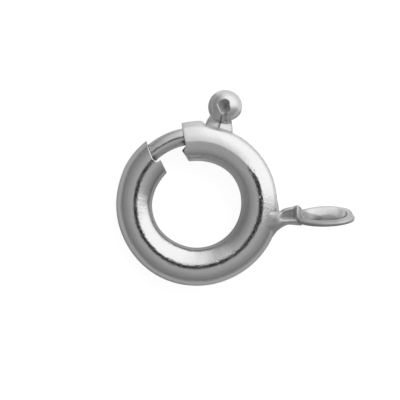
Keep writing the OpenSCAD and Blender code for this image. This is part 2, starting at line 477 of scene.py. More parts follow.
def tint(label, description, code):
    """A colour, with its default as sRGB hex."""
    return FloatVectorProperty(
        name=label, description=description, default=hex_colour(code), subtype="COLOR", size=4, min=0, max=1)


class RingSizes(bpy.types.PropertyGroup):
    """Sizes of the ring tube"""

    ring_od: length("Ring Diameter", "Outside diameter of the ring", 6)
    tube_d: length("Tube Diameter", "Diameter of the tube that the ring is bent from", 1.4)
    tube_wall: length("Tube Wall", "Thickness of the tube's wall", 0.12)
    open_start: bearing("Opening Start", "Where the tube's end beside the lever is cut", 101.2)
    open_end: bearing("Opening End", "Where the tube's other end is cut", 128.8)
    notch_r: length("Notch Radius", "Radius of the rounded notch in the far end", 0.146)
    slot_w: length("Slot Width", "Width of the lever's slot", 0.67)
    slot_start: bearing("Slot Start", "Where the slot ends beside the opening", 86.8)
    slot_end: bearing("Slot End", "Where the slot ends towards the eyelet", -6.0)
    slot_taper: bearing("Slot Taper", "Angle over which the slot runs out towards the eyelet", 10.0)
    slot_round: bearing("Slot Round", "Angle that the slot's end beside the opening is rounded by", 2.6)
    edge: length("Rolled Edge", "Radius that wear gives the cut edges", 0.026)
    tab_lift: length("Tab Lift", "How far the tab between slot and opening is bent outwards", 0.05)
    # Strength of the painted shade on the tube's inner side, made with the dull tarnish
    inner_shade: fraction("Inner Dullness", "How far polishing falls short at the ring's inner side", 0.5)
    plug_at: bearing("Plug Place", "Where the plug that the spring bears on lies", -73)
    plug_span: bearing("Plug Length", "Angle that the plug takes up", 8)


class EyeletSizes(bpy.types.PropertyGroup):
    """Sizes of the soldered neck and the eyelet"""

    eyelet_od: length("Eyelet Diameter", "Outside diameter of the eyelet", 2.16)
    wire_t: length("Wire Thickness", "Thickness of the eyelet's wire, away from its middle", 0.312)
    wire_top_w: length("Top Width", "Width of the wire across the loop at its top", 0.162)
    wire_foot_w: length("Foot Width", "Width of the wire across the loop at its bottom", 0.555)
    foot_aside: length("Foot Offset", "How far the wire's bottom sits beside the loop's plane", 0.082)
    top_twist: bearing("Top Twist", "Turn of the wire's section from the loop's own plane at its top", 14.3)
    foot_twist: bearing("Foot Twist", "Turn of the wire's section at its bottom", 28.5)
    floor_at: length("Inner Floor", "From the loop's middle to the flat inner floor at its bottom", 0.58)
    loop_aside: length("Loop Offset", "How far the loop's middle sits beside the ring's centre line", -0.503)
    aside: length("Neck Offset", "How far the neck sits beside the ring's centre line", -0.46)
    lean: bearing("Eyelet Lean", "How far the eyelet leans from upright", 12.5)
    turn: bearing("Eyelet Turn", "Turn of the eyelet away from the ring's centre line", 1.4)
    neck_len: length("Neck Length", "From the ring to the eyelet", 0.6)
    neck_w: length("Neck Width", "Width of the neck at its waist", 0.66)
    neck_t: length("Neck Thickness", "Thickness of the neck at its waist", 0.56)


class BoltSizes(bpy.types.PropertyGroup):
    """Sizes of the needle, the lever and the spring"""

    needle_d: length("Needle Diameter", "Diameter of the needle", 0.63)
    needle_path_r: length("Needle Path", "Radius that the needle is bent to", 2.51)
    needle_point: bearing("Needle Point", "Where the needle's round point begins", 138)
    needle_start: bearing("Needle Tail", "Where the needle's square end lies", 58)
    lever_at: bearing("Lever Place", "Where the lever stands when the clasp is shut", 74)
    ball_d: length("Ball Diameter", "Diameter of the hollow ball", 1.25)
    ball_at_r: length("Ball Place", "From the ring's axis to the middle of the ball", 3.703)
    sheet: length("Sheet", "Thickness of the sheet that the ball is drawn from", 0.09)
    ball_edge: length("Opening Edge", "Radius of the rolled edge round the ball's opening", 0.034)
    neck_t: length("Neck Thickness", "Thickness of the neck", 0.56)
    blend: length("Blend", "Reach of the soft hollow between ball and neck", 0.30)
    stem_d: length("Stem Diameter", "Diameter of the stem riveted in the needle", 0.24)
    spring_wire: length("Spring Wire", "Diameter of the spring's wire", 0.1)
    spring_coils: IntProperty(name="Spring Coils", description="Number of coils", default=24, min=4)
    spring_room: length("Spring Room", "Room between the spring and the tube's bore, and at its ends", 0.04)


class FinishLook(bpy.types.PropertyGroup):
    """Colours and grain sizes of the metals"""

    silver: tint("Silver", "Polished silver", "#F0F0F0")
    # The tarnish colour also paints shade, wherever the recess attribute carries it
    tarnish_and_shade: tint("Tarnish", "Silver that polishing hasn't reached", "#A8A8A8")
    steel: tint("Spring Steel", "Steel of the spring", "#9A9A9A")
    polish_rough: fraction("Polish", "Roughness of the polished metal", 0.15)
    recess_rough: fraction("Dullness", "Roughness where polishing hasn't reached", 0.55)
    satin_rough: fraction("Satin", "Roughness that wear adds along the tube's crest", 0.3)
    peel_size: pattern_size("Peel", "Width of the polished skin's ripples, in millimetres", 0.075)
    mark_size: pattern_size("Marks", "Width of tool marks, in millimetres", 0.06)
    swell_size: pattern_size("Swell", "Length of the slow unevenness, in millimetres", 0.9)
    swell_depth: pattern_size("Swell Depth", "Depth of the slow unevenness, in millimetres", 0.03, least=0)
    dent_size: pattern_size("Dent Spacing", "Distance between small dents, in millimetres", 0.33)


class StageLook(bpy.types.PropertyGroup):
    """The camera, the floor and the light"""

    view_width: length("View Width", "Width of the picture at the ring", 14.634)
    aim_x: length("Aim Across", "Point that the camera looks at, towards the eyelet", 0.0988)
    aim_y: length("Aim Up", "Point that the camera looks at, towards the lever", 0.1537)
    lens: FloatProperty(name="Lens", description="Focal length, in millimetres", default=400, min=50)
    key: brightness("Key Light", "Brightness of the soft light at one side", 1.05)
    key_azimuth: bearing("Key Azimuth", "Direction that the soft light comes from", 48)
    fill: brightness("Fill Light", "Brightness of the rest of the studio", 0.385)
    table_light: brightness("Table Light", "Brightness of the sun, which metal doesn't mirror", 0.6)
    floor_size: length("Floor", "Width of the floor", 400)


# The pieces


def tube_rows(count):
    """Angles round the tube's section, from its inner side round and back.

    Rows lie up to 4.2 times as close together where the far end's notch is.
    """
    fine = np.linspace(-math.pi, math.pi, 4001)
    density = 1 + 3.2 * hump(np.cos(fine), -0.10, 0.24)
    reach = np.concatenate([[0], np.cumsum((density[1:] + density[:-1]) / 2)])
    return np.interp(np.linspace(0, reach[-1], count, endpoint=False), reach, fine)


def tube_surface(sizes, depth, angle, around):
    """Points of the tube's wall at a depth below its outside.

    A torus, (R + r cos p, r sin p), whose crest and sides are moved where the bending pulled them.
    It bulges at its inner side across from the opening, is raised to a soft ridge along its crest
    beside the opening, is filled out at the crest's outer side before that, and has its tab bent
    outwards.
    """
    ring_r = (sizes.ring_od - sizes.tube_d) / 2
    turn = np.degrees(angle)
    bulge = BULGE_HEIGHT * between(turn, *BULGE) * hump(np.abs(around), 2.70, 0.36)
    r = sizes.tube_d / 2 - depth + bulge * MM
    at = np.clip(turn, PULL[0, 0], PULL[-1, 0])
    pull, inner, outer = (smooth_table(at, PULL[:, 0], PULL[:, k]) * MM for k in (1, 2, 3))
    arc = (around - math.pi / 2) * r / MM
    top = hump(arc, 0, 0.9) * (1 - (arc / 1.4) ** 2).clip(0)
    sides = inner * np.clip(-np.cos(around), 0, None) ** 2 + outer * np.clip(np.cos(around), 0, None) ** 2
    out = r * np.cos(around) + pull * top + sides * (1 - 0.6 * depth / sizes.tube_wall)
    ridge = RIDGE_SLOPE * ease(turn, *RIDGE)
    ridge = ridge * (np.sqrt(arc**2 + RIDGE_SOFT**2) - RIDGE_SOFT) * hump(arc, 0, 0.26)
    flat = FLAT_CURVE * np.clip(-arc, 0, None) ** 2 * hump(arc, 0, 0.17) * between(turn, *FLAT)
    up = r * np.sin(around) + (flat - ridge) * MM * np.sin(around)
    tab = ease(turn, *TAB_RISE) * (1 - TAB_SINK * ease(turn, *TAB_FALL))
    lift = sizes.tab_lift * tab * hump(around, 0, 0.75)
    return polar(ring_r + out + lift, angle, up)


def end_angles(sizes, radius, height):
    """Where both cut ends lie at a distance from the ring's axis: far end, then lever's end."""
    ring_r = (sizes.ring_od - sizes.tube_d) / 2
    share = (radius - ring_r) / (sizes.tube_d / 2)
    far = np.interp(-share, -FAR_END[:, 0], FAR_END[:, 1])
    notch_at = ring_r + NOTCH[0] * sizes.tube_d / 2
    half = np.sqrt(np.clip(sizes.notch_r**2 - (radius - notch_at) ** 2, 0, None))
    notch = np.where(half > 0, NOTCH[1] + np.degrees(half / radius), -90)
    near = np.interp(-share, -LEVER_END[:, 0], LEVER_END[:, 1])
    near = near - STEP_BACK * hump(share, -0.36, 0.13) * ease(height / MM, 0.1, 0.4)
    return (
        sizes.open_end + np.radians(np.maximum(far, notch)),
        2 * math.pi + sizes.open_start + np.radians(near),
    )


def tube_wall_grid(sizes, depth, rows, widen):
    """One face of the tube's wall as a grid, from the far end round to the lever's end.

    Its columns are even between the ends and the slot's two ends, which are curved. widen is how
    far the slot's ends are moved apart. Gives the points, both angles, and the columns of the
    slot's ends.
    """
    ring_r = (sizes.ring_od - sizes.tube_d) / 2
    r = sizes.tube_d / 2 - depth
    far, near = end_angles(sizes, ring_r + r * np.cos(rows), r * np.sin(rows))
    edge_share = np.clip(np.abs(r * np.sin(rows)) / (sizes.slot_w / 2 + widen), 0, 1)
    apart = widen / (ring_r + r)
    stops = [
        far,
        np.full_like(far, EVEN_FROM),
        2 * math.pi + sizes.slot_end + sizes.slot_taper * edge_share**2 - apart,
        2 * math.pi + sizes.slot_start - sizes.slot_round * edge_share**2 + apart,
        near,
    ]
    parts = []
    for start, stop, count in zip(stops[:-1], stops[1:], TUBE_COLUMNS):
        t = np.linspace(0, 1, count, endpoint=False)[:, None]
        parts.append(start + (stop - start) * t)
    angle = np.vstack(parts + [near[None, :]])
    around = np.broadcast_to(rows, angle.shape)
    first = sum(TUBE_COLUMNS[:2])
    return tube_surface(sizes, depth, angle, around), angle, around, (first, first + TUBE_COLUMNS[2])


def section_normals(angle, around):
    """Outward normals of a torus, (cos p cos a, cos p sin a, sin p)."""
    return polar(np.cos(around), angle, np.sin(around))


def slot_rows(sizes, lip):
    """Angles round the section for the wall's outside and its bore, and the two rows at the slot's sides."""
    r_out = sizes.tube_d / 2
    rows = tube_rows(TUBE_ROWS)
    slot_out = math.asin((sizes.slot_w / 2 + lip) / r_out)
    slot_in = math.asin(sizes.slot_w / 2 / (r_out - sizes.tube_wall))
    low = int(np.abs(rows + slot_out).argmin())
    high = int(np.abs(rows - slot_out).argmin())
    outer_knots = [-math.pi, -slot_out, slot_out, math.pi]
    outside = np.interp(rows, [-math.pi, rows[low], rows[high], math.pi], outer_knots)
    return outside, np.interp(outside, outer_knots, [-math.pi, -slot_in, slot_in, math.pi]), low, high


def roll_end(outside, angle, normals, end, edge):
    """Draws one end of the outside back for its rolled edge, in place, and gives the roll's rows."""
    line = outside[end].copy()
    run = unit(np.roll(line, -1, axis=0) - np.roll(line, 1, axis=0))
    outward = unit(np.cross(normals[end], run))
    forward = (-1 if end == 0 else 1) * polar(1.0, angle[end] + math.pi / 2, 0.0)
    outward = outward * np.sign((outward * forward).sum(-1).sum())
    rows = np.arange(len(outside))
    near = (rows if end == 0 else rows[::-1]) < TUBE_COLUMNS[0]
    drawn = hump(np.linalg.norm(outside - line, axis=-1), 0, ROLL_REACH)[..., None] * near[:, None, None]
    outside -= drawn * edge * outward
    return rolled_edge(outside[end], normals[end], outward, edge)


def shell_rows(face, bore, rolled):
    """A value's rows in the shell's order: outside, one rolled end, bore from there back, other end."""
    return np.concatenate([face, np.repeat(face[-1:], rolled, 0), bore[::-1], np.repeat(face[:1], rolled, 0)])


def inner_painted_shade(sizes, angle, around):
    """Painted shade on the tube's outside, made with the dull tarnish: most at the ring's inner side, by the
    eyelet, which faces away from the soft light.
    """
    shade = 0.35 + 0.65 * ease(np.cos(angle - math.radians(5)), -0.2, 0.8)
    shade = shade * (1 - hump(np.degrees(angle), 250, 50))
    return sizes.inner_shade * shade * ease(-np.cos(around), 0.50, 0.76)


def tube_satin(angle, around):
    """Where wear has made the tube satin: along its crest towards the lever, and outside round the lever."""
    turn = np.degrees(angle)
    crest = hump(np.abs(around), math.pi / 2, 0.4) * ease(turn, 384, 412)
    return np.maximum(crest, ease(np.cos(around), 0.66, 0.8) * hump(turn, 435, 16))


def add_slot_walls(skin, faces, angle, normals, corners, lip):
    """The slot's walls, as one closed loop that is rolled in from the outside and joined to the bore."""
    outside, bore = faces
    first, last, low, high = corners
    along, across = last - first, high - low
    loop_i = np.concatenate([
        np.arange(first, last), np.full(across, last), np.arange(last, first, -1), np.full(across, first),
    ])
    loop_j = np.concatenate([
        np.full(along, low), np.arange(low, high), np.full(along, high), np.arange(high, low, -1),
    ])
    rim, rim_normals = outside[loop_i, loop_j], normals[loop_i, loop_j]
    run = unit(np.roll(rim, -1, axis=0) - np.roll(rim, 1, axis=0))
    into = unit(np.cross(rim_normals, run))
    into *= np.sign((into[:, 2] * np.where(loop_j == low, 1, 0)).sum())
    roll = rolled_edge(rim, rim_normals, into, lip)
    wall = np.concatenate([rim[None], roll, bore[loop_i, loop_j][None]])
    depth = np.concatenate([[0], np.linspace(0, 0.3, len(roll)), [1]])[:, None]
    turn = np.degrees(angle[loop_i, loop_j])
    dirt = np.maximum(ease(-turn, -378, -364), 0.8 * hump(turn, 419, 5))
    skin.add_grid(wall, False, True, recess=np.maximum(depth, dirt), satin=0.8)


def build_tube(sizes, look):
    """The bent tube as one closed shell: outside, rolled ends, bore, and the slot's walls."""
    lip = LIP_SHARE * sizes.edge
    rows_out, rows_in, low, high = slot_rows(sizes, lip)
    outside, angle, around, (first, last) = tube_wall_grid(sizes, 0, rows_out, lip)
    bore, bore_angle, bore_around, _ = tube_wall_grid(sizes, sizes.tube_wall, rows_in, 0)
    normals = section_normals(angle, around)
    far_roll = roll_end(outside, angle, normals, 0, sizes.edge)
    near_roll = roll_end(outside, angle, normals, -1, sizes.edge)
    shell = np.concatenate([outside, near_roll, bore[::-1], far_roll[::-1]])
    rolled = len(near_roll)
    lengths = shell_rows(angle, bore_angle, rolled)
    turns = shell_rows(around, bore_around, rolled)
    recess = shell_rows(inner_painted_shade(sizes, angle, around), np.ones_like(bore_angle), rolled)
    ring_r, r_out = (sizes.ring_od - sizes.tube_d) / 2, sizes.tube_d / 2
    along = np.stack([lengths * ring_r, r_out * np.cos(turns), r_out * np.sin(turns)], axis=-1) / MM
    keep = np.ones((len(shell), len(rows_out)), bool)
    keep[first:last, low:high] = False
    turned = len(outside) + rolled + len(bore) - 1
    keep[turned - last:turned - first, low:high] = False
    skin = Skin()
    skin.add_grid(shell, True, True, keep, along=along, recess=recess, satin=tube_satin(lengths, turns))
    add_slot_walls(skin, (outside, bore), angle, normals, (first, last, low, high), lip)
    add_plug(skin, sizes, ring_r, r_out - sizes.tube_wall)
    material = silver(
        "Drawn silver tube", look, peel=0.0058, lines=0.0014, lines_stretch=(1.0, 0.3, 0.3), pits=0.005)
    return skin.make("ring_tube", "ring", "polished_silver", material, "ring_tube")


def add_plug(skin, sizes, ring_r, bore_r):
    """The short slug inside the tube that the spring bears on, with rounded ends."""
    round_r = 0.05 * MM
    turn = np.linspace(0, math.pi / 2, 6)
    radii = bore_r - PLUG_FIT - round_r * (1 - np.sin(turn))
    ends = round_r * (1 - np.cos(turn)) / ring_r
    angles = np.concatenate([sizes.plug_at - sizes.plug_span + ends, sizes.plug_at - ends[::-1]])
    around = np.linspace(0, 2 * math.pi, 40, endpoint=False)
    rod = bent_rod(ring_r, np.concatenate([radii, radii[::-1]]), angles, around)
    skin.add_grid(rod, False, True, recess=1.0)
    skin.add_fan(rod[0], rod[0].mean(0), True, recess=1.0)
    skin.add_fan(rod[-1], rod[-1].mean(0), False, recess=1.0)


def neck_relief(x, y):
    """The neck's upper face, above or below its plain bar, and its pocket, all in millimetres.

    It has a pocket towards the tube, a rib across where the eyelet starts, and a rib along the side
    away from the lever.
    """
    pocket = between(x, 2.97, 3.16, 3.50, 3.63) * ease(y, -0.60, -0.48)
    pocket = pocket * ease(-y + 0.32 * (x - 3.10), 0.22, 0.38)
    across = hump(x, 3.66, 0.055) * ease(y, -0.62, -0.45)
    side = hump(y, -0.66, 0.07) * ease(x, 3.0, 3.3)
    return 0.06 * across + 0.05 * side - 0.11 * pocket, pocket


def joined_to_tube(ring, x, y, z):
    """Heights of the neck's top, joined softly to the tube's, with a small ledge along the join.

    The join is max(a, b) + (k - |a - b|)^2 / 4k. Far below the tube's surface it sinks out of sight.
    """
    ring_r = (ring.ring_od - ring.tube_d) / 2
    tube = np.sqrt(np.clip((ring.tube_d / 2) ** 2 - (np.hypot(x, y) - ring_r) ** 2, 0, None))
    soft = np.clip(SOLDER_REACH - np.abs(z - tube), 0, None) ** 2 / (4 * SOLDER_REACH)
    soft = soft * ease(tube, 0, 0.25 * MM)
    sunk = np.minimum(0.2 * np.clip(tube - z - SOLDER_REACH, 0, None), 0.006 * MM)
    width = np.where(y / MM > LEDGE_Y, 0.085, 0.30)
    ledge = LEDGE_HEIGHT * hump(y / MM, LEDGE_Y, width) * between(x / MM, 2.52, 2.76, 2.98, 3.06)
    joined = np.maximum(z, tube - 0.0005 * MM) + soft - sunk + ledge
    return np.where(tube > 0, joined, z)


def build_neck(ring, sizes, look):
    """The soldered neck, lofted through rounded bars along +X that grow out of the tube's wall.

    Inside the tube's wall its points are drawn onto the wall's middle, out of sight, and its end
    there is thinned at the side away from the lever.
    """
    ring_r = (ring.ring_od - ring.tube_d) / 2
    mid_wall = ring.tube_d / 2 - ring.tube_wall / 2
    share = np.linspace(SOLDER[0, 0], SOLDER[-1, 0], 150)
    upper, lower, thick = (smooth_table(share, SOLDER[:, 0], SOLDER[:, k]) for k in (1, 2, 3))
    top = sizes.aside + upper * sizes.neck_w / 2
    foot = sizes.aside - lower * sizes.neck_w / 2
    a = np.linspace(0, 2 * math.pi, 180, endpoint=False)
    cos, sin = squared(np.cos(a), NECK_BAR_SQUARE), squared(np.sin(a), NECK_BAR_SQUARE)
    y = ((top + foot) / 2)[:, None] + ((top - foot) / 2)[:, None] * cos
    x = np.broadcast_to((ring.ring_od / 2 + share * sizes.neck_len)[:, None], y.shape)
    px, py = x / MM, y / MM
    thinned = ease(-py, 0.75, 1.25) * ease(-px, -2.98, -2.72)
    relief, pocket = neck_relief(px, py)
    z = (thick * sizes.neck_t / 2)[:, None] * sin * (1 - thinned) + MM * relief * np.clip(sin, 0, None)
    z = np.where(sin > 0, joined_to_tube(ring, x, y, z), z)
    inside = np.hypot(np.hypot(x, y) - ring_r, z) < mid_wall
    middle = polar(ring_r, np.arctan2(y, x), 0.0)
    points = np.stack([x, y, z], -1)
    points = np.where(inside[..., None], unit(points - middle) * mid_wall + middle, points)
    dull = 0.35 + 0.55 * ease(px, 3.68, 3.76) + 0.1 * ease(-px, -3.04, -2.92) * ease(-py, 0.28, 0.40)
    skin = Skin()
    skin.add_grid(points, False, True, recess=np.where(sin > 0, np.maximum(pocket, dull), dull))
    skin.add_fan(points[0], points[0].mean(0), True)
    skin.add_fan(points[-1], points[-1].mean(0) + np.array([0.03 * MM, 0, 0]), False)
    material = silver("Silver solder", look, peel=0.0070, lines=0.0012, pits=0.010, rough=0.20)
    return skin.make("soldered_neck", "ring", "polished_silver", material, "ring_tube")


def smooth_table(x, xs, ys):
    """A cubic Hermite curve through a table's points, with slopes from the points beside each."""
    slopes = np.gradient(ys, xs)
    k = np.clip(np.searchsorted(xs, x, side="right") - 1, 0, len(xs) - 2)
    h = xs[k + 1] - xs[k]
    t = (x - xs[k]) / h
    return (
        (1 + 2 * t) * (1 - t) ** 2 * ys[k] + t * (1 - t) ** 2 * h * slopes[k]
        + t * t * (3 - 2 * t) * ys[k + 1] + t * t * (t - 1) * h * slopes[k + 1]
    )


def flat_loop(sizes, a, p):
    """The eyelet's wire as a loop in the XY plane, at angles a round the loop and p round the wire.

    Its section is a rounded bar that is wider across the loop at the bottom than at the top, and
    thickens there to a flat inner floor. It is twisted more at the bottom than at the top, and a
    little more again at the bottom's right.
    """
    thick = sizes.wire_t / 2
    loop_r = sizes.eyelet_od / 2 - thick
    down = -np.sin(a)
    wide = (sizes.wire_top_w + (sizes.wire_foot_w - sizes.wire_top_w) * ease(down, 0.05, 0.61)) / 2
    wide = wide + 0.025 * MM * hump(down, -0.05, 0.35)
    floor_r = sizes.floor_at / np.clip(down, 0.05, None)
    floor_r = -FLOOR_SOFT * np.logaddexp(-(loop_r - thick) / FLOOR_SOFT, -floor_r / FLOOR_SOFT)
    below = thick * (1 - 0.44 * ease(down, -0.2, 0.6))
    out = squared(np.cos(p), WIRE_SQUARE) * np.where(np.cos(p) > 0, below, loop_r - floor_r)
    across = wide * squared(np.sin(p), WIRE_SQUARE) + sizes.foot_aside * ease(down, 0.0, 0.9)
    twist = sizes.top_twist + (sizes.foot_twist - sizes.top_twist) * ease(down, -0.4, 0.55)
    twist = twist + math.radians(12) * hump(np.cos(a), 0.75, 0.35) * ease(down, 0, 0.4)
    radius = loop_r + out * np.cos(twist) - across * np.sin(twist)
    return polar(radius, a, out * np.sin(twist) + across * np.cos(twist))


def loop_finish_and_shade(points, down, inward):
    """How dull and how satin the eyelet is, with its painted shade. down and inward are 1 at the loop's
    bottom and inner side.

    Its floor is bright, and elsewhere it is dull and darker, partly unpolished and partly painted shade. A
    painted shade line hooks round its right inner side, and its left inner side is dull and darker towards
    the neck.
    """
    x, y = points[..., 0] / MM, points[..., 1] / MM
    solder = ease(-x, -4.30, -3.95) * ease(down, -0.2, 0.4)
    floor = ease(inward, 0.2, 0.7) * ease(down, -0.2, 0.3)
    inner = ease(inward, -0.1, 0.3) * ease(down, -0.35, 0.0)
    # Painted shade: a dark line that hooks round the loop's right inner side
    hook = np.hypot(np.clip(x - HOOK_X, 0, None), y - HOOK_Y) - HOOK_R
    painted_shade_hook = hump(hook, 0, 0.035) * ease(x, 4.75, 5.15) * (1 - ease(y, -0.30, -0.22)) * inner
    # Dull and darker at the left inner side, towards the neck
    left_darkening = 0.8 * ease(-0.249 - 0.30 * (x - 3.977) - y, -0.02, 0.07) * (1 - ease(x, 4.45, 4.75)) * inner
    # The rest of the loop is dull and darker, partly unpolished metal and partly painted shade; the floor
    # stays bright
    dull = 0.65 * (1 - floor) * (1 - 0.5 * ease(x, 5.0, 5.4)) + 0.25 * solder
    dull = np.clip(np.maximum(dull, np.maximum(painted_shade_hook, left_darkening)), 0, 1)
    return dull, 0.15 * floor + 0.7 * hump(x, 5.2, 0.1) * inner


def build_eyelet(ring, sizes, look):
    """The eyelet's flattened wire, turned upright beside the ring: lean about X, then turn about Z."""
    a = np.linspace(0, 2 * math.pi, 240, endpoint=False)[:, None]
    p = np.linspace(0, 2 * math.pi, 80, endpoint=False)[None, :]
    upright = np.array(Matrix.Rotation(math.pi / 2 + sizes.lean, 3, "X"))
    turned = np.array(Matrix.Rotation(sizes.turn, 3, "Z"))
    middle = np.array([ring.ring_od / 2 + sizes.neck_len + sizes.eyelet_od / 2, sizes.loop_aside, 0])
    points = flat_loop(sizes, a, p) @ (turned @ upright).T + middle
    dull, satin = loop_finish_and_shade(points, -np.sin(a), -np.cos(p))
    skin = Skin()
    skin.add_grid(points, True, True, recess=dull, satin=satin)
    material = silver("Annealed silver wire", look, peel=0.0095, lines=0.0010, pits=0.013, rough=0.14)
    return skin.make("eyelet", "ring", "polished_silver", material, "ring_tube")


def build_needle(sizes, look):
    """The bent needle: a rod along an arc, with a half-round point and a softened square end."""
    r = sizes.needle_d / 2
    soft = 0.03 * MM
    turn = np.linspace(0, math.pi / 2, 16)
    start = sizes.needle_start + soft * (1 - np.cos(turn)) / sizes.needle_path_r
    body = np.linspace(start[-1], sizes.needle_point, 120)[1:-1]
    point = sizes.needle_point + np.arcsin(np.sin(turn) * r / sizes.needle_path_r)
    angles = np.concatenate([start, body, point[:-1]])
    radii = np.concatenate([r - soft * (1 - np.sin(turn)), np.full(len(body), r), r * np.cos(turn[:-1])])
    around = np.linspace(0, 2 * math.pi, 72, endpoint=False)
    rod = bent_rod(sizes.needle_path_r, radii, angles, around)
    a, p = np.broadcast_arrays(angles[:, None], around[None, :])
    along = np.stack([a * sizes.needle_path_r, r * np.cos(p), r * np.sin(p)], -1) / MM
    # Painted shadow where the needle goes into the tube's far end, darkened with the tarnish colour
    mouth_shadow = hump(np.degrees(a), 133.2, 1.6) * hump(p, 2.2, 0.9)
    skin = Skin()
    skin.add_grid(rod, False, True, along=along, recess=0.5 * mouth_shadow)
    skin.add_fan(rod[0], rod[0].mean(0), True)
    skin.add_fan(rod[-1], polar(sizes.needle_path_r, point[-1], 0.0), False)
    material = silver(
        "Drawn silver wire", look, peel=0.0018, lines=0.0012, lines_stretch=(0.25, 1.0, 1.0), rough=0.08)
    return skin.make("needle", "bolt", "drawn_silver", material, "needle")


def keyhole(angle):
    """How far the ball's opening reaches from its middle, in metres, round corners included."""
    fine = np.linspace(-180, 180, 720, endpoint=False)
    reach = np.interp(fine, KEYHOLE[:, 0], KEYHOLE[:, 1])
    window = hump(np.arange(-24, 25), 0, 9)
    soft = np.convolve(np.concatenate([reach[-24:], reach, reach[:24]]), window / window.sum(), "valid")
    return np.interp(np.degrees(angle), fine, soft, period=360) * MM


def build_lever(sizes, look):
    """The lever, built upright and then turned to its place: ball, neck and stem."""
    skin = Skin()
    add_ball(skin, sizes)
    add_lever_neck(skin, sizes)
    add_stem(skin, sizes)
    turn = np.array(Matrix.Rotation(sizes.lever_at - math.pi / 2, 3, "Z"))
    skin.points = [points @ turn.T for points in skin.points]
    material = silver("Pressed silver sheet", look, peel=0.0030, lines=0.0010, pits=0.002, rough=0.20)
    return skin.make("thumb_lever", "bolt", "pressed_silver", material, "thumb_lever")


def add_ball(skin, sizes):
    """The hollow ball, in rows from the opening's edge to the back: R (sin g cos a, sin g sin a, cos g).

    It is flattened a little at its lower right, its sides there and at the left are dull and darkened
    with painted shade towards the outline, and its front flows softly into the neck.
    """
    r = sizes.ball_d / 2
    edge = sizes.ball_edge
    a = np.linspace(-math.pi, math.pi, 300, endpoint=False)
    k = keyhole(a)
    g_out = np.arcsin((k + edge) / r)
    g_in = np.arcsin(k / (r - sizes.sheet))
    flat = 0.12 * hump(np.degrees(a), -60, 28)

    def ball(radius, g):
        across = radius * (1 - flat * np.sin(g) ** 2) * np.sin(g)
        return np.stack([across * np.cos(a), across * np.sin(a), radius * np.cos(g)], -1)

    last = math.radians(179)
    g = g_out + (last - g_out) * np.linspace(0, 1, 150)[:, None] ** 1.15
    outer = ball(r, g)
    inner = ball(r - sizes.sheet, g_in + (last - g_in) * np.linspace(0, 1, 40)[:, None])
    inner[..., 2] *= np.where(inner[..., 2] < 0, INNER_BACK, 1)
    run = unit(np.roll(outer[0], -1, 0) - np.roll(outer[0], 1, 0))
    normals = unit(outer[0])
    into = unit(np.cross(normals, run))
    into = into * np.sign(-(into[:, :2] * outer[0, :, :2]).sum(-1).sum())
    roll = rolled_edge(outer[0], normals, into, edge, 4)
    shape = np.concatenate([inner[::-1], roll[::-1], outer])
    middle = np.array([0, sizes.ball_at_r, 0])
    points = shape @ np.array(Matrix.Rotation(math.pi / 2 - sizes.lever_at, 3, "Z")).T + middle
    outside = (np.arange(len(shape)) >= len(inner))[:, None]
    neck = neck_front(sizes, points[..., 0], points[..., 1])
    points[..., 2], dark = joined_front(sizes, points, neck, outside)
    # Painted shade: the ball's left side and lower right are darkened towards its outline
    sides = ease(np.cos(a - math.radians(168)), 0.62, 0.84) + ease(np.cos(a + math.radians(40)), 0.85, 0.97)
    dull = np.full(shape.shape[:2], INSIDE_DULL)
    dull[-len(outer):] = 0.75 * sides * ease(np.sin(g), 0.72, 0.94)
    rings = np.arccos(np.clip(shape[..., 2] / r, -1, 1)) * r / MM
    along = np.stack(np.broadcast_arrays(rings, 0.25 * np.cos(a), 0.25 * np.sin(a)), -1)
    satin = np.where(outside, ease(-points[..., 1] / MM, -3.42, -3.22), 0.0)
    skin.add_grid(points, False, True, along=along, recess=np.maximum(dull, dark), satin=satin)
    skin.add_fan(points[0], middle + np.array([0, 0, inner[-1, 0, 2]]), True, recess=INSIDE_DULL)
    skin.add_fan(points[-1], middle + np.array([0, 0, -r]), False)


def line_distance(x, y, start, end):
    """Distance in plan from a line between two points, and the share along it."""
    (sx, sy), (ex, ey) = np.array(start) * MM, np.array(end) * MM
    dx, dy = ex - sx, ey - sy
    t = ((x - sx) * dx + (y - sy) * dy) / (dx * dx + dy * dy)
    near = np.clip(t, 0, 1)
    return np.hypot(x - sx - near * dx, y - sy - near * dy), t


def lever_marks(x, y):
    """The slit of the sheet's seam and the fold beside it: depth, and how dark it is."""
    slit, _ = line_distance(x, y, *SLIT_LINE)
    fold, t = line_distance(x, y, *FOLD_LINE)
    cut = 1 - ease(slit, *SLIT_HALF)
    valley = 0.5 + 0.5 * np.cos(np.clip(fold / FOLD_REACH, 0, 1) * math.pi)
    valley = valley * (1 - ease(t, 0.85, 1.0))
    fold_dark = (0.45 + 0.45 * (1 - ease(t, 0.1, 0.5))) * ease(valley, 0.1, 0.8)
    return np.maximum(SLIT_DEPTH * cut, FOLD_DEPTH * valley), np.maximum(0.85 * cut, fold_dark)


def lever_front(x, y):
    """How far the neck's front falls from its middle: to both sides of the seam, and towards the ball."""
    left = np.clip(-(x / MM + 0.03), 0, None)
    right = np.clip(x / MM + 0.03, 0, None)
    fall = left * (0.08 + 0.10 * left) + right * (0.12 + 0.17 * right)
    rise = y / MM - 0.287 * x / MM - 3.11
    rise = np.minimum((rise + np.hypot(rise, 0.03)) / 2, 0.2)
    return (fall + 0.17 * (y / MM - 2.9).clip(0) - 0.55 * rise) * MM


def neck_edges(y):
    """The neck's middle and half its width at a distance from the ring's axis."""
    left, right = (np.interp(y / MM, NECK[:, 0], NECK[:, k]) * MM for k in (1, 2))
    return (left + right) / 2, (right - left) / 2


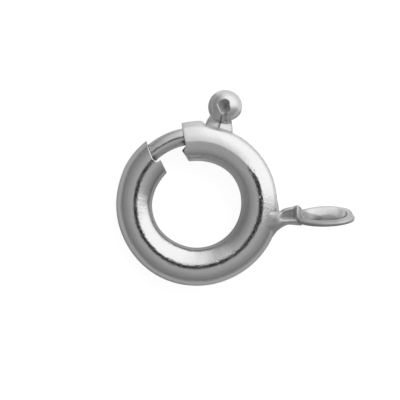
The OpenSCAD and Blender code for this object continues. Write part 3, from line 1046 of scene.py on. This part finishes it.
def neck_front(sizes, x, y):
    """Height of the neck's front, (1 - |s|^(2/q))^(q/2) across its width, and far down beside it."""
    middle, half = neck_edges(y)
    bar = np.clip(1 - np.abs((x - middle) / half) ** (2 / NECK_SQUARE), 0, 1) ** (NECK_SQUARE / 2)
    beside = (bar == 0) | (y > NECK[-1, 0] * MM)
    return np.where(beside, -sizes.ball_d, (sizes.neck_t / 2 - lever_front(x, y)) * bar)


def ball_front(sizes, x, y):
    """Height of the ball's front, sqrt(R^2 - d^2), carried on below as -sqrt(d^2 - R^2)."""
    rest = (sizes.ball_d / 2) ** 2 - x**2 - (y - sizes.ball_at_r) ** 2
    return np.sign(rest) * np.sqrt(np.abs(rest))


def joined_front(sizes, points, other, weight):
    """Heights after a front is joined softly to another, and cut by the marks, and how dark they are.

    The join is max(a, b) + (k - |a - b|)^2 / 4k. Where a surface is the lower one, it sinks a
    little further, out of sight.
    """
    x, y, z = points[..., 0], points[..., 1], points[..., 2]
    depth, dark = lever_marks(x, y)
    front = weight * ease(z, 0, 0.08 * MM)
    soft = np.clip(sizes.blend - np.abs(z - other), 0, None) ** 2 / (4 * sizes.blend)
    sunk = np.minimum(0.2 * np.clip(other - z, 0, None), 0.01 * MM)
    return z + front * (np.maximum(other - z, 0) + soft - sunk - depth), dark * front


def add_lever_neck(skin, sizes):
    """The folded neck, a rounded bar that tapers from its foot on the needle up into the ball."""
    cy = sizes.ball_at_r
    y_top = cy - sizes.ball_d / 3
    foot_y = sizes.needle_path_r
    a = section_angles(170, 90)
    box_x, box_z = squared(np.cos(a), NECK_SQUARE), squared(np.sin(a), NECK_SQUARE)
    rows = np.linspace(0, 1, 130)[:, None]
    saddle_r = sizes.needle_d / 2 + 0.01 * MM
    mid_wall = sizes.ball_d / 2 - sizes.sheet / 2
    z = sizes.neck_t / 2 * box_z
    middle, half = neck_edges(foot_y + 0.25 * MM)
    low = needle_saddle(middle + half * box_x, z, foot_y, saddle_r)
    middle, half = neck_edges(y_top)
    high = cy - np.sqrt(np.clip(mid_wall**2 - (middle + half * box_x * 0.97) ** 2 - z**2, 0, None))
    y = low + (high - low) * rows
    middle, half = neck_edges(y)
    x = middle + half * box_x
    z = z - lever_front(x, y) * np.clip(box_z, 0, 1)
    points = np.stack([x, y, z], -1)
    points[..., 2], dark = joined_front(sizes, points, ball_front(sizes, x, y), 1.0)
    edge = 0.5 * ease(box_x, 0.86, 0.96) * (box_z > 0)
    satin = ease(y / MM, 3.02, 3.20)
    skin.add_grid(points, False, True, recess=np.maximum(dark, edge), satin=satin)
    shrink = np.linspace(1, 0.02, 8)[:, None]
    for row in (0, -1):
        cx, cz = points[row, :, 0] * shrink, points[row, :, 2] * shrink
        if row == 0:
            level = needle_saddle(cx, cz, foot_y, saddle_r)
        else:
            level = cy - np.sqrt(np.clip(mid_wall**2 - cx**2 - cz**2, 0, None))
        offset = points[row, :, 1] - level[0]
        cap = np.stack([cx, level + offset * shrink, cz], -1)
        skin.add_grid(cap, False, True, recess=INSIDE_DULL)
        skin.add_fan(cap[-1], cap[-1].mean(0), False, recess=INSIDE_DULL)


def section_angles(front, rest):
    """Angles round the neck's section, in even steps of X on its front and even turns elsewhere."""
    s = np.linspace(0.96, -0.96, front)
    ahead = np.arccos(squared(s, 1 / NECK_SQUARE))
    behind = np.linspace(ahead[-1], ahead[0] + 2 * math.pi, rest + 2)[1:-1]
    return np.concatenate([ahead, behind])


def needle_saddle(x, z, path_r, saddle_r):
    """Height above the ring's axis of the needle's surface, sqrt((R + sqrt(s^2 - z^2))^2 - x^2)."""
    out = path_r + np.sqrt(np.clip(saddle_r**2 - z**2, 0, None))
    return np.sqrt(out**2 - x**2)


def add_stem(skin, sizes):
    """The stem that is riveted in the needle, a short round bar with domed ends."""
    r = sizes.stem_d / 2
    low = sizes.needle_path_r - sizes.needle_d / 4
    high = low + sizes.needle_d
    turn = np.linspace(0, math.pi / 2, 8)
    dome = 0.4 * r
    radius = np.concatenate([r * np.sin(turn)[1:], r * np.cos(turn)[:-1]])
    level = np.concatenate([low + dome * (1 - np.cos(turn))[1:], high - dome * (1 - np.sin(turn))[:-1]])
    a = np.linspace(0, 2 * math.pi, 32, endpoint=False)
    bar = np.stack([
        radius[:, None] * np.cos(a), level[:, None] + 0 * a, radius[:, None] * np.sin(a),
    ], -1)
    skin.add_grid(bar, False, True, recess=1.0)
    skin.add_fan(bar[0], np.array([0, low, 0]), True, recess=1.0)
    skin.add_fan(bar[-1], np.array([0, high, 0]), False, recess=1.0)


def build_spring(ring, sizes, look):
    """The coil spring: a helix round the tube's curved middle line, with a round wire."""
    ring_r = (ring.ring_od - ring.tube_d) / 2
    bore_r = ring.tube_d / 2 - ring.tube_wall
    wire_r = sizes.spring_wire / 2
    coil_r = bore_r - sizes.spring_room - wire_r
    gap = (sizes.spring_room + wire_r) / ring_r
    start, stop = ring.plug_at + gap, sizes.needle_start - gap
    share = np.linspace(0, 1, sizes.spring_coils * 24 + 1)[:, None]
    turn = 2 * math.pi * sizes.spring_coils * share
    place = start + (stop - start) * share
    p = np.linspace(0, 2 * math.pi, 10, endpoint=False)[None, :]
    out = coil_r + wire_r * np.cos(p)
    aside = wire_r * np.sin(p)
    radius = ring_r + out * np.cos(turn)
    points = polar(radius, place, out * np.sin(turn)) + polar(aside, place + math.pi / 2, 0.0)
    skin = Skin()
    skin.add_grid(points, False, True)
    skin.add_fan(points[0], points[0].mean(0), True)
    skin.add_fan(points[-1], points[-1].mean(0), False)
    material = spring_steel(look)
    spring = skin.make("coil_spring", None, "spring_steel", material, "coil_spring")
    ends = [laid(polar(ring_r, angle, 0.0)) for angle in (ring.plug_at, sizes.needle_start)]
    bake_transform(spring)
    return spring


def spring_steel(look):
    """Hard drawn steel wire: darker than the silver, with a dull satin skin."""
    material, tree = new_material("Drawn spring steel")
    coordinates = add_node(tree, "ShaderNodeTexCoord").outputs["Object"]
    grain = add_node(tree, "ShaderNodeTexNoise", {
        "Vector": coordinates, "Scale": 1 / (0.03 * MM), "Detail": 2.0,
    }).outputs["Fac"]
    roughness = add_node(tree, "ShaderNodeMapRange", {
        "Value": grain, "To Min": 0.28, "To Max": 0.42,
    }).outputs["Result"]
    surface = add_node(tree, "ShaderNodeBsdfPrincipled", {
        "Base Color": tuple(look.steel), "Metallic": 1.0, "Roughness": roughness,
    })
    add_node(tree, "ShaderNodeOutputMaterial", {"Surface": surface.outputs["BSDF"]})
    return material


# The stage


def key_window(tree, vector, look, fade):
    """1 for directions from the origin that face the soft light's side, 0 away from it, and soft between.

    fade holds the degrees from the light's own direction where it starts and is full, at both sides.
    """
    turned = add_node(tree, "ShaderNodeVectorRotate", {
        "Vector": vector, "Axis": (0, 0, 1), "Angle": -look.key_azimuth,
    }, rotation_type="AXIS_ANGLE").outputs["Vector"]
    parts = add_node(tree, "ShaderNodeSeparateXYZ", {"Vector": turned})
    azimuth = add_node(
        tree, "ShaderNodeMath", {0: parts.outputs["Y"], 1: parts.outputs["X"]}, operation="ARCTAN2",
    ).outputs[0]
    right, left = (
        add_node(tree, "ShaderNodeMapRange", {
            "Value": azimuth, "From Min": math.radians(outer), "From Max": math.radians(inner),
        }, interpolation_type="SMOOTHSTEP").outputs["Result"]
        for outer, inner in (fade[:2], fade[2:])
    )
    return add_node(tree, "ShaderNodeMath", {0: right, 1: left}, operation="MULTIPLY").outputs[0]


def studio_light(scene, look):
    """A grey studio with one large soft light at a side, as a world lit by direction.

    Straight above is the dark round of the camera, which polished metal mirrors as a thin line
    along its crests.
    """
    world = bpy.data.worlds.new("Soft studio")
    world.use_nodes = True
    tree = world.node_tree
    tree.nodes.clear()
    ray = add_node(tree, "ShaderNodeTexCoord").outputs["Generated"]
    height = add_node(tree, "ShaderNodeSeparateXYZ", {"Vector": ray}).outputs["Z"]
    ramp = add_node(tree, "ShaderNodeValToRGB", {"Fac": height})
    while len(ramp.color_ramp.elements) < len(STUDIO_GREYS):
        ramp.color_ramp.elements.new(0.5)
    for element, (place, value) in zip(ramp.color_ramp.elements, STUDIO_GREYS):
        element.position = place
        element.color = (value, value, value, 1)
    towards = (math.cos(look.key_azimuth), math.sin(look.key_azimuth), 0)
    lean = add_node(
        tree, "ShaderNodeVectorMath", {0: ray, 1: towards}, operation="DOT_PRODUCT",
    ).outputs["Value"]
    sway = add_node(
        tree, "ShaderNodeMath", {0: lean, 1: FILL_SWAY * look.fill, 2: look.fill}, operation="MULTIPLY_ADD",
    ).outputs[0]
    fill = add_node(
        tree, "ShaderNodeMath", {0: ramp.outputs["Color"], 1: sway}, operation="MULTIPLY",
    ).outputs[0]
    bright = add_node(tree, "ShaderNodeMix", {
        "Factor": key_window(tree, ray, look, WORLD_FADE), "A": fill, "B": look.key,
    }, data_type="FLOAT").outputs["Result"]
    facing = add_node(
        tree, "ShaderNodeVectorMath", {0: ray, 1: tuple(RING_AXIS)}, operation="DOT_PRODUCT",
    ).outputs["Value"]
    outer, inner = (math.cos(math.radians(degrees)) for degrees in CAMERA_ROUND)
    camera_round = add_node(tree, "ShaderNodeMapRange", {
        "Value": facing, "From Min": outer, "From Max": inner, "To Min": 1.0, "To Max": 0.03,
    }, interpolation_type="SMOOTHSTEP").outputs["Result"]
    seen = add_node(tree, "ShaderNodeMath", {0: bright, 1: camera_round}, operation="MULTIPLY").outputs[0]
    rays = add_node(tree, "ShaderNodeLightPath")
    shown = add_node(tree, "ShaderNodeMix", {
        "Factor": rays.outputs["Is Camera Ray"], "A": seen, "B": 1.0,
    }, data_type="FLOAT").outputs["Result"]
    background = add_node(tree, "ShaderNodeBackground", {"Color": (1, 1, 1, 1), "Strength": shown})
    add_node(tree, "ShaderNodeOutputWorld", {"Surface": background.outputs["Background"]})
    scene.world = world


def floor_paper(look):
    """White paper to the camera. In the metal's mirror its grey is painted light: lighter towards the soft
    light.

    The mirrored paper's painted grey is darker far off and away from the light.
    """
    material, tree = new_material("White paper")
    place = add_node(tree, "ShaderNodeTexCoord").outputs["Object"]
    distance = add_node(tree, "ShaderNodeVectorMath", {0: place}, operation="LENGTH").outputs["Value"]
    near_dark, near_lit = (
        add_node(tree, "ShaderNodeMapRange", {
            "Value": distance, "From Min": 5 * MM, "From Max": 12 * MM, "To Min": near, "To Max": far,
        }, interpolation_type="SMOOTHSTEP").outputs["Result"]
        for near, far in PAPER_GREYS
    )
    # Painted light: the mirrored grey is lighter on the soft light's side
    grey = add_node(tree, "ShaderNodeMix", {
        "Factor": key_window(tree, place, look, FLOOR_FADE), "A": near_dark, "B": near_lit,
    }, data_type="FLOAT").outputs["Result"]
    colour = add_node(tree, "ShaderNodeCombineColor", {"Red": grey, "Green": grey, "Blue": grey})
    mirrored = add_node(tree, "ShaderNodeBsdfDiffuse", {"Color": colour.outputs["Color"]})
    paper = add_node(tree, "ShaderNodeBsdfDiffuse", {"Color": (0.3, 0.3, 0.3, 1)})
    glow = add_node(tree, "ShaderNodeEmission", {"Strength": 0.9})
    shown = add_node(tree, "ShaderNodeAddShader", {0: paper.outputs["BSDF"], 1: glow.outputs["Emission"]})
    rays = add_node(tree, "ShaderNodeLightPath")
    surface = add_node(tree, "ShaderNodeMixShader", {
        0: rays.outputs["Is Camera Ray"], 1: mirrored.outputs["BSDF"], 2: shown.outputs["Shader"],
    })
    add_node(tree, "ShaderNodeOutputMaterial", {"Surface": surface.outputs["Shader"]})
    return material


def build_stage(scene, look):
    """The floor under the clasp, the studio light and the camera, which looks along the ring's axis."""
    half = look.floor_size / 2
    level = cad_low.z
    mesh = bpy.data.meshes.new("floor")
    corners = [(-half, -half, level), (half, -half, level), (half, half, level), (-half, half, level)]
    mesh.from_pydata(corners, [], [(0, 1, 2, 3)])
    mesh.materials.append(floor_paper(look))
    floor = bpy.data.objects.new("floor", mesh)
    scene.collection.objects.link(floor)
    studio_light(scene, look)
    lamp = bpy.data.lights.new("table_light", "SUN")
    lamp.energy = look.table_light
    lamp.angle = SUN_WIDTH
    table_light = bpy.data.objects.new("table_light", lamp)
    scene.collection.objects.link(table_light)
    table_light.matrix_world = (
        Matrix.Rotation(look.key_azimuth + math.pi / 2, 4, "Z") @ Matrix.Rotation(SUN_SLANT, 4, "X")
    )
    table_light.visible_glossy = False
    camera = bpy.data.cameras.new("camera")
    camera.lens = look.lens
    camera.sensor_width = SENSOR
    away = look.view_width * look.lens / SENSOR
    camera.clip_start = away / 50
    camera.clip_end = away * 20
    holder = bpy.data.objects.new("camera", camera)
    scene.collection.objects.link(holder)
    place = laid(np.array([look.aim_x, look.aim_y, away]))
    holder.matrix_world = Matrix.Translation(place) @ Matrix(LAID).to_4x4()
    scene.camera = holder
    scene.view_settings.view_transform = "Standard"


class CLASP_OT_ring_tube(bpy.types.Operator):
    """Makes the bent silver tube with its opening, slot and plug"""

    bl_idname = "clasp.ring_tube"
    bl_label = "Ring Tube"

    def execute(self, context):
        build_tube(context.scene.clasp_ring, context.scene.clasp_finish)
        return {"FINISHED"}


class CLASP_OT_eyelet(bpy.types.Operator):
    """Makes the soldered neck and the eyelet's wire"""

    bl_idname = "clasp.eyelet"
    bl_label = "Neck and Eyelet"

    def execute(self, context):
        scene = context.scene
        build_neck(scene.clasp_ring, scene.clasp_eyelet, scene.clasp_finish)
        build_eyelet(scene.clasp_ring, scene.clasp_eyelet, scene.clasp_finish)
        return {"FINISHED"}


class CLASP_OT_needle(bpy.types.Operator):
    """Makes the bent needle that closes the opening"""

    bl_idname = "clasp.needle"
    bl_label = "Needle"

    def execute(self, context):
        build_needle(context.scene.clasp_bolt, context.scene.clasp_finish)
        return {"FINISHED"}


class CLASP_OT_thumb_lever(bpy.types.Operator):
    """Makes the thumb lever with its hollow ball"""

    bl_idname = "clasp.thumb_lever"
    bl_label = "Thumb Lever"

    def execute(self, context):
        build_lever(context.scene.clasp_bolt, context.scene.clasp_finish)
        return {"FINISHED"}


class CLASP_OT_coil_spring(bpy.types.Operator):
    """Makes the spring inside the tube"""

    bl_idname = "clasp.coil_spring"
    bl_label = "Coil Spring"

    def execute(self, context):
        build_spring(context.scene.clasp_ring, context.scene.clasp_bolt, context.scene.clasp_finish)
        return {"FINISHED"}


class CLASP_OT_stage(bpy.types.Operator):
    """Makes the floor, the studio light and the camera"""

    bl_idname = "clasp.stage"
    bl_label = "Stage"

    def execute(self, context):
        build_stage(context.scene, context.scene.clasp_stage)
        return {"FINISHED"}


OPERATORS = (
    CLASP_OT_ring_tube,
    CLASP_OT_eyelet,
    CLASP_OT_needle,
    CLASP_OT_thumb_lever,
    CLASP_OT_coil_spring,
    CLASP_OT_stage,
)


class CLASP_PT_pieces(bpy.types.Panel):
    """Lists the clasp's pieces and stage"""

    bl_idname = "CLASP_PT_pieces"
    bl_label = "Spring Ring Clasp"
    bl_space_type = "VIEW_3D"
    bl_region_type = "UI"
    bl_category = "Clasp"

    def draw(self, context):
        for operator in OPERATORS:
            self.layout.operator(operator.bl_idname)


GROUPS = {
    "clasp_ring": RingSizes,
    "clasp_eyelet": EyeletSizes,
    "clasp_bolt": BoltSizes,
    "clasp_finish": FinishLook,
    "clasp_stage": StageLook,
}


def register():
    for kind in (*GROUPS.values(), *OPERATORS, CLASP_PT_pieces):
        bpy.utils.register_class(kind)
    for key, kind in GROUPS.items():
        setattr(bpy.types.Scene, key, PointerProperty(type=kind))


def unregister():
    for key in GROUPS:
        delattr(bpy.types.Scene, key)
    for kind in (CLASP_PT_pieces, *reversed(OPERATORS), *reversed(GROUPS.values())):
        bpy.utils.unregister_class(kind)


def main():
    """Builds every piece and the stage."""
    register()
    bpy.ops.clasp.ring_tube()
    bpy.ops.clasp.eyelet()
    bpy.ops.clasp.needle()
    bpy.ops.clasp.thumb_lever()
    bpy.ops.clasp.coil_spring()
    bpy.ops.clasp.stage()


if __name__ == "__main__":
    main()
